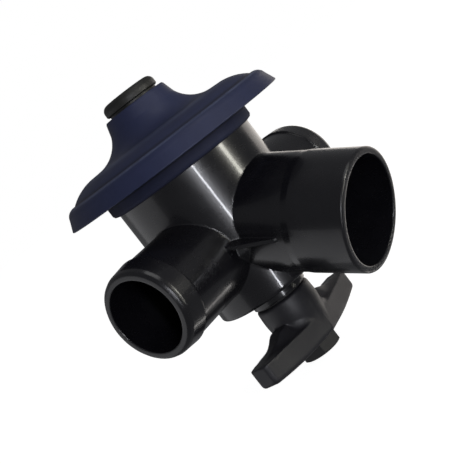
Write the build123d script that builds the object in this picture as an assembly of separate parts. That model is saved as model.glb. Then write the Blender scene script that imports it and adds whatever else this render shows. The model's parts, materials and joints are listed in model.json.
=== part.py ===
from build123d import *
import math
import os

# Three-port diaphragm valve, in millimetres.
# The origin is where the run between the two small spigots crosses the valve axis.
# +Z goes up the valve axis to the bonnet cover, Y lies along the run, +X faces the outlet.

os.makedirs("parts", exist_ok=True)

# ---- Driving dimensions: the body and its spigots ----
RUN_R = 20.0                # outside radius of the two run spigots
RUN_WALL = 3.7
RUN_REACH = 70.0            # valve axis to each run mouth
RUN_SOCKET_DEPTH = 30.0     # length of the full bore behind each run mouth
RUN_BORE_STEP = 0.6         # how much narrower the passage is beyond it
BARB_BACK = 10.5            # mouth to the barb's sharp shoulder
BARB_RISE = 0.7
BARB_LENGTH = 8.0
RUN_MOUTH_ROUND = 1.6
OUTLET_R = 25.1             # outside radius of the outlet spigot
OUTLET_WALL = 2.9
OUTLET_REACH = 71.7         # valve axis to the outlet mouth, along the outlet
OUTLET_SOCKET_DEPTH = 28.0  # length of the full bore behind the mouth
OUTLET_LAND = 24.0          # length of the full outside behind the mouth
OUTLET_STEP = 0.3           # how much slimmer the outside is beyond that
OUTLET_BORE_STEP = 0.6
OUTLET_DROP = 26.2          # degrees below the horizontal
OUTLET_CROSS_Z = 10.0       # where the outlet's axis meets the valve axis
OUTLET_EDGE = 0.8           # rounding of the outlet's mouth
BODY_R = 33.9
BODY_WALL = 3.5
BODY_RISE = 15.0            # body's top above the seat's lip
CONDUIT_WALL = 3.0          # the run's wall where it crosses the chamber
STEP_TOP_Z = -6.0
STEP_HEIGHT = 6.0
BASE_R = 26.5
BASE_DROP = 9.9             # base below the run's conduit
BASE_ROUND = 1.5
FLOOR = 3.6
NECK_WALL = 4.25            # around the gland's thread
NECK_LENGTH = 4.8
BOSS_WALL = 3.0             # around the gland's thread, inside the chamber
WEB_THICK = 1.6

# ---- Seat and diaphragm stack ----
SEAT_BORE_R = 12.0
SEAT_RISE = 4.7             # the seat's lip above the run's conduit
SEAT_RING_WALL = 1.6
SEAT_RING_HEIGHT = 4.0
SEAT_PROUD = 1.0
RISER_WALL = 3.5
WASHER_THICK = 3.0          # rubber seat washer
WASHER_LAP = 2.0            # seat washer beyond the seat ring
RETAINER_THICK = 2.4
RETAINER_GAP = 1.5          # retainer inside the seat's bore
PLATE_THICK = 2.0
PLATE_LAP = 2.8             # plates beyond the seat washer
PLATE_RIM = 1.2             # height of the upper plate's rim
SHEET_THICK = 1.8           # diaphragm sheet
SHEET_LAP = 1.1             # flat of the sheet beyond the plates
BEAD_HEIGHT = 3.0
LIFT = 5.0                  # travel of the spindle from shut to open

# ---- Spindle, gland and handle ----
SPINDLE_R = 4.0
STUD_STEP = 1.0             # spindle's shoulder under the stack
THREAD_PITCH = 1.25
THREAD_GROOVE_R = 0.45
STUD_NUT_FLATS = 10.0
STUD_NUT_HEIGHT = 5.0
STUD_END = 2.0              # stud beyond its nut
LOCK_WASHER_R = 5.6
LOCK_WASHER_THICK = 1.0
O_RING_R = 1.5
SEAL_DROP = 1.2             # seal bore below the run's conduit
GLAND_THREAD_WALL = 2.0     # around the seal bore
NIPPLE_WALL = 2.45
NIPPLE_LAND = 3.7           # nipple beyond the cross pin's slot
SPACER_THICK = 2.0
PIN_R = 1.25
CLIP_THICK = 1.0
CLIP_GROOVE = 0.9
CLIP_LAND = 0.8             # nipple beyond its clip
HUB_TOP_R = 13.2
HUB_R = 14.0
HUB_HEIGHT = 8.2
THRUST_WASHER_THICK = 0.8
THRUST_WASHER_INSET = 1.2   # washer's edge inside the hub's
HANDLE_REACH = 40.0         # valve axis to each end of the cross bar
BAR_HALF_WIDTH = 12.6       # beside the hub
BAR_TIP_HALF_WIDTH = 4.8
BAR_HEIGHT = 9.5
BAR_DROP = 5.1              # bar's top below the nipple, beside the hub
BAR_RISE = 2.4              # how much higher the bar's ends are
BAR_NOSE = 1.2              # bevel of the bar's ends
BAR_TAPER = 12.0            # length of the sloping end of its underside
RIDGE_CREST = 1.4           # half width of the ridge's crest at its thin end
INSERT_WALL = 1.5           # threaded insert beyond the nipple
CAP_NUT_FLATS = 18.0
CAP_NUT_HEIGHT = 5.7
CAP_NUT_TURN = 11.4         # degrees, the corner's angle from +X
CAP_NUT_BEVEL = 1.0
CAP_SHANK = 2.8             # cap nut's plug inside the hub

# ---- Bonnet cover: radii from the skirt's outside, heights from the body's top ----
SKIRT_WALL = 2.6
SKIRT_DROP = 4.7            # skirt's end below the body's top
BRIM_OVERHANG = 17.3
BRIM_RISE = 1.6             # brim's sharp lower edge
EDGE_BACK = 2.0             # shoulder of the raised edge inside the brim's lower edge
EDGE_RISE = 6.5             # its top is EDGE_SAG higher than a straight way
EDGE_SAG = 1.2
VALLEY_BACK = 7.2           # where the raised edge meets the dome
VALLEY_RISE = 10.0
CREST_INSET = 1.95          # crest of the dome inside the skirt
CREST_RISE = 14.8
DOME_SAG = 0.9              # bulge of the dome between its crest and the valley
FLARE_INSET = 7.55          # foot of the tower inside the skirt
FLARE_RISE = 15.1
FLARE_SAG = 2.04            # hollow of the flank between tower and dome
TOWER_NECK_RISE = 23.7
TOWER_TOP_RISE = 29.5
TOWER_NECK_FLARE = 1.5      # neck beyond the tower's top
TOWER_WALL = 1.75           # around the button's recess
COVER_WALL = 3.0
RIBS = 8
RIB_THICK = 1.8
SLIP_RING_THICK = 1.0
DECK_THICK = 3.0            # floor under the button's recess
RECESS_DEPTH = 4.1

# ---- Bleed button and springs ----
BUTTON_RISE = 6.0           # button's top above the tower
BUTTON_LIP_RISE = 1.0       # button's lower lip above the tower
BUTTON_LIP = 1.2
BUTTON_EDGE = 3.0
BUTTON_WALL = 2.5
BUTTON_CROWN = 3.3          # thickness over the spring
BUTTON_TRAVEL = 3.0
STEM_R = 2.5
STEM_COVER = 2.0            # rubber over the stem's end
BUSH_WALL = 1.95
BUSH_FLANGE = 1.5
BUSH_FLANGE_THICK = 1.0
BUSH_DROP = 2.0
VENT_R = 0.5
SEAL_THICK = 1.8
SEAL_LAP = 1.0              # vent seal beyond the bush
SPRING_R = 9.8              # mean radius of the closing spring's coil
SPRING_WIRE_R = 0.8
SPRING_TURNS = 7
SPRING_SEAT_THICK = 1.0
SPRING_SEAT_HALF = 1.6
BUTTON_SPRING_WIRE_R = 0.45
BUTTON_SPRING_TURNS = 4

# ---- Clearances ----
RUNNING = 0.05              # radial, a piece that turns or slides
SEATED = 0.03               # radial, a screwed or pressed piece
FREE = 0.3                  # radial, a piece that only passes through
AXIAL = 0.1                 # end float
RIM_GAP = 0.1               # clamped rings inside the body's rim
RECESS_GAP = 0.45           # button in its recess
SPRING_GAP = 0.65           # button spring around the bush's flange
POCKET_GAP = 1.65           # button spring inside its pocket
TOUCH = 0.01                # rubber and clips against their neighbours

# ---- Sizes that follow ----
RUN_BORE_R = RUN_R - RUN_WALL
PASSAGE_R = RUN_BORE_R - RUN_BORE_STEP
OUTLET_BORE_R = OUTLET_R - OUTLET_WALL
CHAMBER_R = BODY_R - BODY_WALL
CONDUIT_R = PASSAGE_R + CONDUIT_WALL + RUN_BORE_STEP
SEAT_Z = CONDUIT_R + SEAT_RISE
BODY_TOP_Z = SEAT_Z + BODY_RISE
BASE_Z = -CONDUIT_R - BASE_DROP
NECK_Z = BASE_Z - NECK_LENGTH
RISER_TOP_Z = SEAT_Z - SEAT_PROUD
SEAT_RING_R = SEAT_BORE_R + SEAT_RING_WALL
WASHER_R = SEAT_RING_R + WASHER_LAP
PLATE_R = WASHER_R + PLATE_LAP
SHEET_FLAT_R = PLATE_R + SHEET_LAP
WASHER_TOP_Z = SEAT_Z + WASHER_THICK
SHEET_Z = WASHER_TOP_Z + PLATE_THICK
UPPER_PLATE_Z = SHEET_Z + SHEET_THICK
UPPER_PLATE_TOP_Z = UPPER_PLATE_Z + PLATE_THICK
STUD_R = SPINDLE_R - STUD_STEP
STUD_NUT_Z = UPPER_PLATE_TOP_Z + LOCK_WASHER_THICK
BEAD_TOP_Z = BODY_TOP_Z + BEAD_HEIGHT
SHOULDER_Z = BEAD_TOP_Z + SLIP_RING_THICK
SEAL_BORE_R = SPINDLE_R + 2 * O_RING_R
GLAND_THREAD_R = SEAL_BORE_R + GLAND_THREAD_WALL
NECK_R = GLAND_THREAD_R + NECK_WALL
BOSS_R = GLAND_THREAD_R + BOSS_WALL
SEAL_TOP_Z = -CONDUIT_R - SEAL_DROP
O_RING_CENTRES = (SEAL_TOP_Z - O_RING_R, SEAL_TOP_Z - 3 * O_RING_R - SPACER_THICK)
GLAND_TOP_Z = SEAL_TOP_Z - 4 * O_RING_R - SPACER_THICK
NIPPLE_R = SPINDLE_R + RUNNING + NIPPLE_WALL
CLIP_GROOVE_R = NIPPLE_R - CLIP_GROOVE
NIPPLE_END_Z = NECK_Z - LIFT - 2 * PIN_R - NIPPLE_LAND
CLIP_TOP_Z = NIPPLE_END_Z + CLIP_LAND + CLIP_THICK
HANDLE_TOP_Z = NECK_Z - THRUST_WASHER_THICK - AXIAL
HANDLE_STEP_Z = CLIP_TOP_Z + AXIAL
HUB_LOW_Z = HANDLE_TOP_Z - HUB_HEIGHT
BAR_TOP_Z = NIPPLE_END_Z - BAR_DROP
BAR_LOW_Z = BAR_TOP_Z - BAR_HEIGHT
INSERT_R = NIPPLE_R + INSERT_WALL
INSERT_TOP_Z = NIPPLE_END_Z - CLIP_LAND
INSERT_LOW_Z = BAR_LOW_Z + CAP_SHANK
SPINDLE_LOW_Z = INSERT_LOW_Z + AXIAL
PIN_Z = NECK_Z - LIFT
SKIRT_R = BODY_R + RUNNING + SKIRT_WALL
BRIM_R = SKIRT_R + BRIM_OVERHANG
BRIM_Z = BODY_TOP_Z + BRIM_RISE
CREST_R = SKIRT_R - CREST_INSET
CREST_Z = BODY_TOP_Z + CREST_RISE
FLARE_R = SKIRT_R - FLARE_INSET
FLARE_Z = BODY_TOP_Z + FLARE_RISE
BUSH_R = STEM_R + RUNNING + BUSH_WALL
BUSH_FLANGE_R = BUSH_R + BUSH_FLANGE
BUTTON_SPRING_R = BUSH_FLANGE_R + SPRING_GAP + BUTTON_SPRING_WIRE_R
POCKET_R = BUTTON_SPRING_R + BUTTON_SPRING_WIRE_R + POCKET_GAP
BUTTON_SKIRT_R = POCKET_R + BUTTON_WALL
BUTTON_R = BUTTON_SKIRT_R + BUTTON_LIP
RECESS_R = BUTTON_R + RECESS_GAP
TOWER_TOP_R = RECESS_R + TOWER_WALL
TOWER_NECK_R = TOWER_TOP_R + TOWER_NECK_FLARE
TOWER_TOP_Z = BODY_TOP_Z + TOWER_TOP_RISE
TOWER_NECK_Z = BODY_TOP_Z + TOWER_NECK_RISE
RECESS_Z = TOWER_TOP_Z - RECESS_DEPTH
DECK_Z = RECESS_Z - DECK_THICK
BUSH_LOW_Z = DECK_Z - BUSH_DROP
SEAL_Z = BUSH_LOW_Z - SEAL_THICK
SPRING_TOP_Z = DECK_Z - SPRING_SEAT_THICK
BUTTON_TOP_Z = TOWER_TOP_Z + BUTTON_RISE
BUTTON_LIP_Z = TOWER_TOP_Z + BUTTON_LIP_RISE
BUTTON_UNDER_Z = RECESS_Z + BUTTON_TRAVEL + AXIAL
POCKET_Z = BUTTON_TOP_Z - BUTTON_CROWN
STEM_TOP_Z = BUTTON_TOP_Z - STEM_COVER


def turned(*edges):
    """A solid of revolution about Z from outline edges drawn as (r, z)."""
    return revolve(Plane.XZ * make_face(edges), Axis.Z)


def turned_points(points):
    """A solid of revolution about Z from a closed run of straight (r, z) points."""
    return turned(*Polyline(*points, close=True).edges())


def tube(outer, inner, low, high):
    """A plain ring or disc between two heights; an inner radius of 0 makes a disc."""
    points = [(inner, low), (outer, low), (outer, high), (inner, high)]
    return turned_points(points)


def arc(start, middle, end):
    """A circular edge of an outline through three (r, z) points."""
    return ThreePointArc(start, middle, end)


def sagged(start, end, sag):
    """An arc between two (r, z) points that bulges to the left of the way by a sag."""
    run = (end[0] - start[0], end[1] - start[1])
    length = math.hypot(*run)
    middle = ((start[0] + end[0]) / 2 - sag * run[1] / length,
              (start[1] + end[1]) / 2 + sag * run[0] / length)
    return arc(start, middle, end)


def coil(mean_r, wire_r, low, high, turns):
    """A helical spring whose end coils touch the two heights."""
    rise = high - low - 2 * wire_r
    path = Helix(pitch=rise / turns, height=rise, radius=mean_r)
    section = Plane(path @ 0, x_dir=(1, 0, 0), z_dir=path % 0) * Circle(wire_r)
    return Pos(0, 0, low + wire_r) * sweep(section, path=path, is_frenet=True)


def hexagon(across_flats, low, high):
    prism = extrude(RegularPolygon(across_flats / math.sqrt(3), 6), high - low)
    return Pos(0, 0, low) * prism


def clip_ring(outer, inner, low, gap_angle):
    """A flat spring clip, open over gap_angle degrees towards +X."""
    ring = tube(outer, inner, low, low + CLIP_THICK)
    reach = 2 * outer
    spread = reach * math.tan(math.radians(gap_angle / 2))
    mouth = make_face(Polyline((0, 0), (reach, -spread), (reach, spread), close=True))
    return ring - Pos(0, 0, low) * extrude(mouth, CLIP_THICK)


def outlet_place(along):
    """Plane square to the outlet's axis, at a distance along it from the valve axis."""
    drop = math.radians(OUTLET_DROP)
    direction = Vector(math.cos(drop), 0, -math.sin(drop))
    origin = Vector(0, 0, OUTLET_CROSS_Z) + direction * along
    return Plane(origin, x_dir=(0, 1, 0), z_dir=direction)


def spigot_outline(points):
    """A bar turned about Z from the outline of its side, given as (r, z)."""
    return turned_points([(0, points[0][1])] + points + [(0, points[-1][1])])


def run_spigots():
    """Both run spigots as one bar along Y, each with a one-way barb near its mouth."""
    shoulder = RUN_REACH - BARB_BACK
    half = [
        (RUN_R, 0),
        (RUN_R, shoulder - BARB_RISE / 2),
        (RUN_R + BARB_RISE, shoulder),
        (RUN_R + 0.8 * BARB_RISE, shoulder + 0.2 * BARB_LENGTH),
        (RUN_R, shoulder + BARB_LENGTH),
        (RUN_R - 0.3 * RUN_MOUTH_ROUND, RUN_REACH - 0.7 * RUN_MOUTH_ROUND),
        (RUN_R - RUN_MOUTH_ROUND, RUN_REACH),
    ]
    bar = spigot_outline(half)
    return Rot(-90, 0, 0) * bar + Rot(90, 0, 0) * bar


def outlet_spigot():
    root_r = OUTLET_R - OUTLET_STEP
    land = OUTLET_REACH - OUTLET_LAND
    outline = [
        (root_r, 0),
        (root_r, land - 10 * OUTLET_STEP),
        (OUTLET_R, land),
        (OUTLET_R, OUTLET_REACH - OUTLET_EDGE),
        (OUTLET_R - 0.3 * OUTLET_EDGE, OUTLET_REACH - 0.3 * OUTLET_EDGE),
        (OUTLET_R - OUTLET_EDGE, OUTLET_REACH),
    ]
    return outlet_place(0) * spigot_outline(outline)


def corner_webs():
    """Two flat webs in the corners between the outlet and the run spigots."""
    slope = math.cos(math.radians(OUTLET_DROP))
    end_x = (BODY_R + 7.0) / slope
    corner = [
        (0, 0),
        (0, RUN_REACH / 2),
        ((RUN_R + 0.6) / slope, BODY_R - 1.4),
        ((BODY_R + 3.0) / slope, OUTLET_R + 0.6),
        (end_x, OUTLET_R - 3.0),
        (end_x, 0),
    ]
    face = make_face(Polyline(*corner, close=True))
    web = extrude(face, WEB_THICK / 2, both=True)
    plane = outlet_place(0)
    flat = Plane(plane.origin, x_dir=plane.z_dir, z_dir=Vector(0, 1, 0).cross(plane.z_dir))
    one = flat * web
    return one + one.mirror(Plane.XZ)


def run_hollow():
    """The whole way through the run: a passage with a wider socket behind each mouth."""
    hollow = Rot(90, 0, 0) * Cylinder(PASSAGE_R, 2 * RUN_REACH)
    middle = RUN_REACH - RUN_SOCKET_DEPTH / 2
    for side in (-1, 1):
        hollow += Pos(0, side * middle, 0) * Rot(90, 0, 0) * Cylinder(RUN_BORE_R, RUN_SOCKET_DEPTH)
    return hollow


def outlet_hollow():
    """The outlet's passage from the chamber, with a wider socket behind the mouth."""
    passage = outlet_place(SEAT_BORE_R) * extrude(Circle(OUTLET_BORE_R - OUTLET_BORE_STEP), OUTLET_REACH)
    socket = outlet_place(OUTLET_REACH - OUTLET_SOCKET_DEPTH) * extrude(
        Circle(OUTLET_BORE_R), 2 * OUTLET_SOCKET_DEPTH)
    return passage + socket


def valve_body():
    step_low = STEP_TOP_Z - STEP_HEIGHT
    corner_r = BASE_R - BASE_ROUND
    bend = BASE_ROUND * (1 - math.sqrt(0.5))
    shell = turned(
        *Polyline((0, NECK_Z), (NECK_R, NECK_Z), (NECK_R, BASE_Z), (corner_r, BASE_Z)).edges(),
        arc((corner_r, BASE_Z), (BASE_R - bend, BASE_Z + bend), (BASE_R, BASE_Z + BASE_ROUND)),
        *Polyline(
            (BASE_R, BASE_Z + BASE_ROUND), (BASE_R, step_low), (BODY_R, STEP_TOP_Z),
            (BODY_R, BODY_TOP_Z), (0, BODY_TOP_Z), (0, NECK_Z),
        ).edges(),
    )
    low_r = BASE_R - FLOOR
    chamber = turned_points([
        (0, BASE_Z + FLOOR), (low_r, BASE_Z + FLOOR), (low_r, step_low + 1.0),
        (CHAMBER_R, STEP_TOP_Z + 1.0), (CHAMBER_R, BODY_TOP_Z), (0, BODY_TOP_Z),
    ])
    hollow = shell + run_spigots() + outlet_spigot() + corner_webs() - chamber - outlet_hollow()

    conduit = Rot(90, 0, 0) * Cylinder(CONDUIT_R, 2 * (CHAMBER_R + 1.0))
    riser = tube(SEAT_BORE_R + RISER_WALL, 0, 0, RISER_TOP_Z)
    boss = tube(BOSS_R, 0, BASE_Z + 1.0, -PASSAGE_R + 1.0)
    cast = hollow + conduit + riser + boss

    cuts = [
        run_hollow(),
        tube(SEAT_BORE_R, 0, 0, RISER_TOP_Z),
        tube(SEAT_RING_R + SEATED, 0, SEAT_Z - SEAT_RING_HEIGHT, RISER_TOP_Z),
        tube(SPINDLE_R + FREE, 0, SEAL_TOP_Z, 0),
        tube(SEAL_BORE_R, 0, NECK_Z, SEAL_TOP_Z),
        tube(GLAND_THREAD_R + SEATED, 0, NECK_Z, GLAND_TOP_Z),
    ]
    for cut in cuts:
        cast -= cut
    return cast


def seat_ring():
    """Pressed into the riser, with a rounded lip that the seat washer closes on."""
    low = SEAT_Z - SEAT_RING_HEIGHT
    crown = SEAT_RING_WALL / 2
    side = SEAT_Z - crown
    return turned(
        *Polyline((SEAT_BORE_R, side), (SEAT_BORE_R, low), (SEAT_RING_R, low),
                  (SEAT_RING_R, side)).edges(),
        arc((SEAT_RING_R, side), (SEAT_BORE_R + crown, SEAT_Z), (SEAT_BORE_R, side)),
    )


def diaphragm():
    """Rubber sheet clamped at its bead, dished down to the plates on the spindle."""
    bead_r = BODY_R - RIM_GAP
    inner_r = CHAMBER_R + 0.2
    mid_r = (SHEET_FLAT_R + inner_r) / 2
    top, low = UPPER_PLATE_Z, SHEET_Z
    dish = BODY_TOP_Z - low
    upper = Spline((SHEET_FLAT_R, top), (mid_r - 0.6, top + 0.41 * dish), (inner_r, BEAD_TOP_Z - 0.6),
                   tangents=[(1, 0), (1, 0.5)])
    lower = Spline((inner_r, BODY_TOP_Z + 0.3), (mid_r + 0.9, low + 0.37 * dish), (SHEET_FLAT_R, low),
                   tangents=[(-1, -0.5), (-1, 0)])
    hole_r = STUD_R + RUNNING
    return turned(
        *Polyline((SHEET_FLAT_R, low), (hole_r, low), (hole_r, top), (SHEET_FLAT_R, top)).edges(),
        upper,
        *Polyline((inner_r, BEAD_TOP_Z - 0.6), (inner_r + 0.4, BEAD_TOP_Z), (bead_r, BEAD_TOP_Z),
                  (bead_r, BODY_TOP_Z), (inner_r, BODY_TOP_Z), (inner_r, BODY_TOP_Z + 0.3)).edges(),
        lower,
    )


def upper_plate():
    """Dished plate over the diaphragm; the closing spring sits in its rim."""
    hole_r = STUD_R + RUNNING
    return turned_points([
        (hole_r, UPPER_PLATE_Z), (PLATE_R, UPPER_PLATE_Z), (PLATE_R, UPPER_PLATE_TOP_Z + PLATE_RIM),
        (PLATE_R - 1.6, UPPER_PLATE_TOP_Z + PLATE_RIM), (PLATE_R - 2.2, UPPER_PLATE_TOP_Z),
        (hole_r, UPPER_PLATE_TOP_Z),
    ])


def lift_spindle():
    """Round spindle: stud at the top, shoulder under the stack, thread at the bottom."""
    stack_z = SEAT_Z - RETAINER_THICK
    stud_top = STUD_NUT_Z + STUD_NUT_HEIGHT + STUD_END
    spindle = turned_points([
        (0, SPINDLE_LOW_Z), (SPINDLE_R - 0.8, SPINDLE_LOW_Z), (SPINDLE_R, SPINDLE_LOW_Z + 0.8),
        (SPINDLE_R, stack_z), (STUD_R, stack_z), (STUD_R, stud_top - 0.6),
        (STUD_R - 0.6, stud_top), (0, stud_top),
    ])
    thread_top = NIPPLE_END_Z + LIFT / 2
    turns = int((thread_top - SPINDLE_LOW_Z) / THREAD_PITCH) - 1
    for turn in range(1, turns + 1):
        z = SPINDLE_LOW_Z + THREAD_PITCH * turn
        spindle -= Pos(0, 0, z) * Torus(SPINDLE_R + 0.1, THREAD_GROOVE_R)
    hole = Pos(0, 0, PIN_Z) * Rot(0, 90, 0) * Cylinder(PIN_R, 3 * SPINDLE_R)
    return spindle - hole


def gland_nut():
    """Screwed into the neck; its nipple carries the handle and guides the cross pin."""
    bore_r = SPINDLE_R + RUNNING
    nut = turned_points([
        (bore_r, GLAND_TOP_Z), (GLAND_THREAD_R, GLAND_TOP_Z), (GLAND_THREAD_R, NECK_Z),
        (NIPPLE_R, NECK_Z), (NIPPLE_R, CLIP_TOP_Z), (CLIP_GROOVE_R, CLIP_TOP_Z),
        (CLIP_GROOVE_R, CLIP_TOP_Z - CLIP_THICK), (NIPPLE_R, CLIP_TOP_Z - CLIP_THICK),
        (NIPPLE_R, NIPPLE_END_Z), (bore_r, NIPPLE_END_Z),
    ])
    low = PIN_Z - PIN_R - AXIAL
    high = PIN_Z + LIFT + PIN_R + AXIAL
    slot = Pos(0, 0, (low + high) / 2) * Box(2 * NIPPLE_R, 2 * (PIN_R + RUNNING), high - low)
    return nut - slot


def handle_clip():
    return clip_ring(INSERT_R - FREE / 2, CLIP_GROOVE_R + TOUCH, CLIP_TOP_Z - CLIP_THICK, 70)


def bar_half_width(along):
    """Half the bar's width, from the hub at 0 to its end at 1."""
    return BAR_HALF_WIDTH + (BAR_TIP_HALF_WIDTH - BAR_HALF_WIDTH) * along


def ridge_section(along, height):
    """Section of the ridge over the bar, at a share of the reach and of the full height."""
    half = bar_half_width(along)
    foot = BAR_TOP_Z + BAR_RISE * along
    peak = BAR_TOP_Z + BAR_RISE + (HUB_LOW_Z - BAR_TOP_Z - BAR_RISE) * height
    crest = RIDGE_CREST + 2.0 * height
    rise = peak - foot
    flank = [(half, foot), (crest + 0.55 * (half - crest), foot + 0.2 * rise),
             (crest + 0.2 * (half - crest), foot + 0.55 * rise), (crest, peak)]
    mirrored = [(-x, z) for x, z in reversed(flank)]
    sunk = foot - BAR_HEIGHT / 4
    outline = Polyline((-half, sunk), (half, sunk), *flank, *mirrored, close=True)
    place = Plane((0, HANDLE_REACH * along, 0), x_dir=(1, 0, 0), z_dir=(0, -1, 0))
    return place * make_face(outline)


def cross_bar():
    """The grip: a tapering beam along Y with rising ends, and a ridge falling from the hub."""
    tip_top = BAR_TOP_Z + BAR_RISE
    tip_low = BAR_LOW_Z + BAR_RISE
    end = HANDLE_REACH
    half_side = [
        (end - BAR_TAPER, BAR_LOW_Z + 0.3 * BAR_RISE), (end - BAR_NOSE, tip_low),
        (end, tip_low + BAR_NOSE), (end, tip_top - BAR_NOSE / 2), (end - BAR_NOSE / 2, tip_top),
        (HUB_R, BAR_TOP_Z + BAR_RISE * HUB_R / end),
    ]
    other_half = [(-y, z) for y, z in reversed(half_side)]
    side = [(HUB_R, BAR_LOW_Z), *half_side, *other_half, (-HUB_R, BAR_LOW_Z)]
    beam = extrude(Plane.YZ * make_face(Polyline(*side, close=True)), BAR_HALF_WIDTH, both=True)
    quarter = [(bar_half_width(0.0), 0), (bar_half_width(0.97), 0.97 * end),
               (bar_half_width(1.0) - BAR_NOSE, end)]
    plan = quarter + [(-x, y) for x, y in reversed(quarter[1:])]
    plan += [(-x, -y) for x, y in quarter] + [(x, -y) for x, y in reversed(quarter[1:])]
    tall = 3 * BAR_HEIGHT
    prism = Pos(0, 0, BAR_LOW_Z - BAR_HEIGHT) * extrude(make_face(Polyline(*plan, close=True)), tall)
    beam = beam & prism

    stations = ((0.0, 1.0), (0.36, 0.94), (0.5, 0.46), (0.68, 0.2), (0.97, 0.02))
    ridge = loft([ridge_section(along, height) for along, height in stations], ruled=True)
    return beam + ridge + ridge.mirror(Plane.XZ)


def t_handle():
    waist_r = BAR_HALF_WIDTH - FREE
    foot_r = waist_r - 2 * BAR_NOSE
    hub = turned(
        *Polyline((0, BAR_LOW_Z), (foot_r, BAR_LOW_Z), (waist_r, BAR_LOW_Z + 2 * BAR_NOSE),
                  (waist_r, BAR_TOP_Z)).edges(),
        sagged((waist_r, BAR_TOP_Z), (HUB_R, HUB_LOW_Z), -0.5),
        *Polyline((HUB_R, HUB_LOW_Z), (HUB_TOP_R, HANDLE_TOP_Z - 1.0),
                  (HUB_TOP_R - 0.9, HANDLE_TOP_Z), (0, HANDLE_TOP_Z), (0, BAR_LOW_Z)).edges(),
    )
    bores = tube(NIPPLE_R + RUNNING, 0, HANDLE_STEP_Z, HANDLE_TOP_Z)
    bores += tube(INSERT_R + SEATED, 0, BAR_LOW_Z, HANDLE_STEP_Z)
    return hub + cross_bar() - bores


def thread_insert():
    """Brass nut pressed into the hub, knurled outside."""
    blank = tube(INSERT_R, SPINDLE_R + RUNNING, INSERT_LOW_Z, INSERT_TOP_Z)
    grooves = 24
    middle = (INSERT_LOW_Z + INSERT_TOP_Z) / 2
    for k in range(grooves):
        groove = Pos(INSERT_R + 0.2, 0, middle) * Cylinder(0.5, INSERT_TOP_Z - INSERT_LOW_Z - 2.0)
        blank -= Rot(0, 0, 360 * k / grooves) * groove
    return blank


def cap_nut():
    """Hexagon cap that closes the hub from below and holds the insert."""
    low = BAR_LOW_Z - CAP_NUT_HEIGHT
    head = Rot(0, 0, CAP_NUT_TURN) * hexagon(CAP_NUT_FLATS, low, BAR_LOW_Z)
    corner_r = CAP_NUT_FLATS / math.sqrt(3)
    dome = turned_points([(0, low), (CAP_NUT_FLATS / 2, low), (corner_r, low + CAP_NUT_BEVEL),
                          (corner_r, BAR_LOW_Z), (0, BAR_LOW_Z)])
    shank = tube(INSERT_R, 0, BAR_LOW_Z, INSERT_LOW_Z)
    return (head & dome) + shank


def bonnet_cover():
    skirt_in_r = BODY_R + RUNNING
    skirt_low = BODY_TOP_Z - SKIRT_DROP
    ceiling_z = FLARE_Z - COVER_WALL
    tower_in = (TOWER_NECK_R - COVER_WALL, DECK_Z - 0.4)
    foot_in = (FLARE_R - 0.3, ceiling_z)
    neck = (TOWER_NECK_R, TOWER_NECK_Z)
    foot = (FLARE_R, FLARE_Z)
    crest = (CREST_R, CREST_Z)
    valley = (BRIM_R - VALLEY_BACK, BODY_TOP_Z + VALLEY_RISE)
    shoulder = (BRIM_R - EDGE_BACK, BODY_TOP_Z + EDGE_RISE)
    outer = turned(
        *Polyline((BUSH_R + SEATED, RECESS_Z), (RECESS_R, RECESS_Z), (RECESS_R, TOWER_TOP_Z),
                  (TOWER_TOP_R - 0.5, TOWER_TOP_Z), (TOWER_TOP_R, TOWER_TOP_Z - 0.6), neck).edges(),
        sagged(neck, foot, -FLARE_SAG),
        Line(foot, crest),
        sagged(crest, valley, DOME_SAG),
        sagged(valley, shoulder, EDGE_SAG),
        *Polyline(shoulder, (BRIM_R, BRIM_Z + 0.3), (BRIM_R - 0.3, BRIM_Z), (SKIRT_R, BRIM_Z),
                  (SKIRT_R, skirt_low + 1.5), (SKIRT_R - 0.6, skirt_low + 0.5),
                  (skirt_in_r + 0.5, skirt_low), (skirt_in_r, skirt_low), (skirt_in_r, SHOULDER_Z),
                  (CHAMBER_R, SHOULDER_Z), (CHAMBER_R, ceiling_z - 1.5),
                  (foot_in[0] + 0.2, ceiling_z), foot_in).edges(),
        sagged(foot_in, tower_in, FLARE_SAG),
        *Polyline(tower_in, (tower_in[0], DECK_Z), (BUSH_R + SEATED, DECK_Z),
                  (BUSH_R + SEATED, RECESS_Z)).edges(),
    )
    hollow = turned_points([
        (SKIRT_R, BRIM_Z), (BRIM_R - COVER_WALL - 0.4, BRIM_Z),
        (shoulder[0] - COVER_WALL, shoulder[1] - 1.2), (valley[0] - 1.2, valley[1] - COVER_WALL - 0.3),
        (CREST_R + 6.6, CREST_Z - COVER_WALL - 1.8), (SKIRT_R, CREST_Z - COVER_WALL - 0.6),
    ])
    rib_height = 2 * (CREST_Z - BRIM_Z - 1.5)
    for k in range(RIBS):
        rib = Pos((SKIRT_R + BRIM_R) / 2, 0, CREST_Z) * Box(BRIM_R, RIB_THICK, rib_height)
        hollow -= Rot(0, 0, 360 * (k + 0.5) / RIBS) * rib
    return outer - hollow


def button_bush():
    """Flanged guide for the stem, with vent holes that the seal closes from below."""
    bore_r = STEM_R + RUNNING
    flange_z = RECESS_Z + BUSH_FLANGE_THICK
    bush = turned_points([
        (bore_r, BUSH_LOW_Z), (BUSH_R, BUSH_LOW_Z), (BUSH_R, RECESS_Z),
        (BUSH_FLANGE_R, RECESS_Z), (BUSH_FLANGE_R, flange_z), (bore_r, flange_z),
    ])
    for k in range(3):
        vent = Pos(bore_r + BUSH_WALL / 2, 0, RECESS_Z) * Cylinder(VENT_R, 4 * DECK_THICK)
        bush -= Rot(0, 0, 120 * k) * vent
    return bush


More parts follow.
